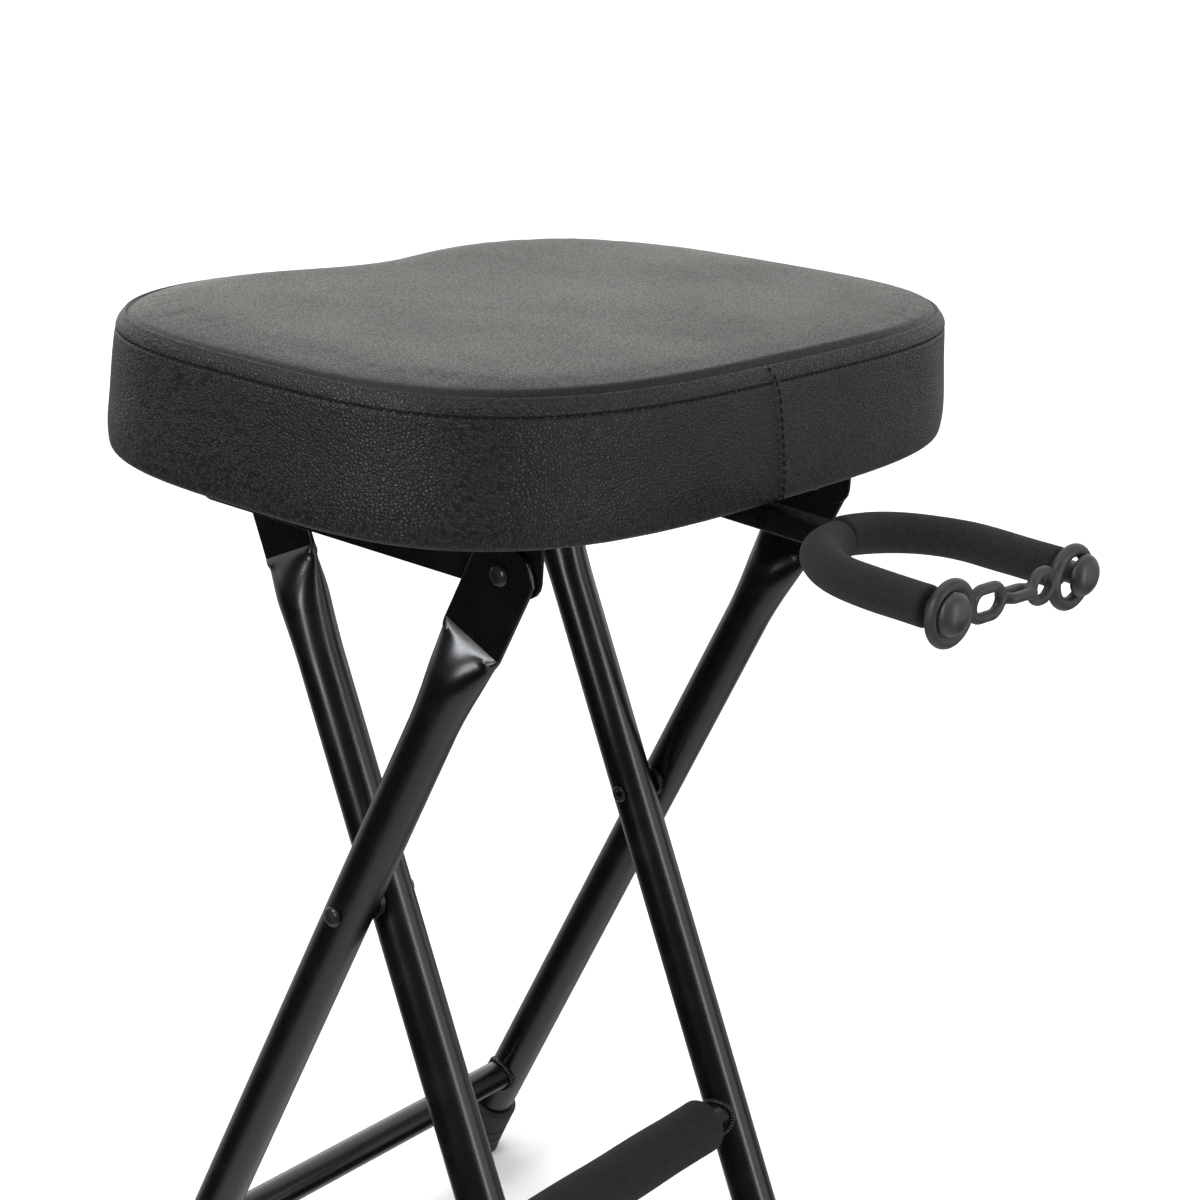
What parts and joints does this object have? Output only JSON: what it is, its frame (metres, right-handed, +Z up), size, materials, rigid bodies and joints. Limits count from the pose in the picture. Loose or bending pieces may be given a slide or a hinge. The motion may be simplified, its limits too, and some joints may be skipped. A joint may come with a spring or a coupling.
{
  "type": "guitar stool with stand",
  "caption": "Folding stool with a padded saddle seat on crossed tube legs and a swing-out foam-covered yoke with a rubber strap that holds a guitar by its neck.",
  "frame": {"origin": "on the floor, under the centre of the stool's bounding box", "axes": "+X from the notched side of the seat towards the hanger, +Y across the stool, +Z up"},
  "size_m": [0.4736, 0.457, 0.6227],
  "materials": {
    "black_paint": "gloss black paint",
    "black_leatherette": "satin pebbled leatherette",
    "black_board": "black backing on plywood",
    "black_foam": "matte closed-cell foam",
    "black_rubber": "satin moulded rubber",
    "black_plastic": "satin moulded plastic",
    "dark_steel": "blackened steel"
  },
  "bodies": {
    "outer_frame": {"outer_leg_near": "black_paint", "outer_leg_far": "black_paint", "outer_stretcher": "black_paint", "outer_foot_near": "black_rubber", "outer_foot_far": "black_rubber", "cross_rivet_near": "dark_steel", "cross_rivet_far": "dark_steel", "cross_washer_near": "dark_steel", "cross_washer_far": "dark_steel", "seat_rivet_near": "dark_steel", "seat_rivet_far": "dark_steel"},
    "inner_frame": {"inner_leg_near": "black_paint", "inner_leg_far": "black_paint", "inner_stretcher": "black_paint", "body_rest_foam": "black_foam", "inner_foot_near": "black_rubber", "inner_foot_far": "black_rubber", "latch_bar": "dark_steel"},
    "seat": {"seat_cushion": "black_leatherette", "seat_board": "black_board", "channel_near": "black_paint", "channel_far": "black_paint", "channel_screw_near_1": "dark_steel", "channel_screw_near_2": "dark_steel", "channel_screw_near_3": "dark_steel", "channel_screw_far_1": "dark_steel", "channel_screw_far_2": "dark_steel", "channel_screw_far_3": "dark_steel", "swivel_plate": "black_paint", "plate_screw_1": "dark_steel", "plate_screw_2": "dark_steel", "plate_screw_3": "dark_steel", "plate_screw_4": "dark_steel", "swivel_washer_upper": "dark_steel", "swivel_washer_lower": "dark_steel", "swivel_bolt": "dark_steel"},
    "hanger": {"hanger_arm": "black_paint", "arm_plug": "black_plastic", "yoke_rod": "black_paint", "foam_sleeve_near": "black_foam", "foam_sleeve_far": "black_foam", "end_knob_near": "black_plastic", "end_knob_far": "black_plastic", "neck_strap": "black_rubber"}
  },
  "joints": [
    {"name": "leg_fold", "type": "hinge", "parent": "outer_frame", "child": "inner_frame", "pos_m": [-0.07919, 0, 0.31], "axis": [0, 1, 0], "range_deg": [0, 44]},
    {"name": "seat_lift", "type": "hinge", "parent": "outer_frame", "child": "seat", "pos_m": [0.01186, 0, 0.5145], "axis": [0, 1, 0], "range_deg": [0, 97]},
    {"name": "hanger_swing", "type": "hinge", "parent": "seat", "child": "hanger", "pos_m": [-0.01314, 0, 0.5452], "axis": [0, 0, 1], "range_deg": [-19.2, 30.8]}
  ],
  "couplings": [
    {"joint": "seat_lift", "follows": "leg_fold", "ratio": 2.2}
  ]
}
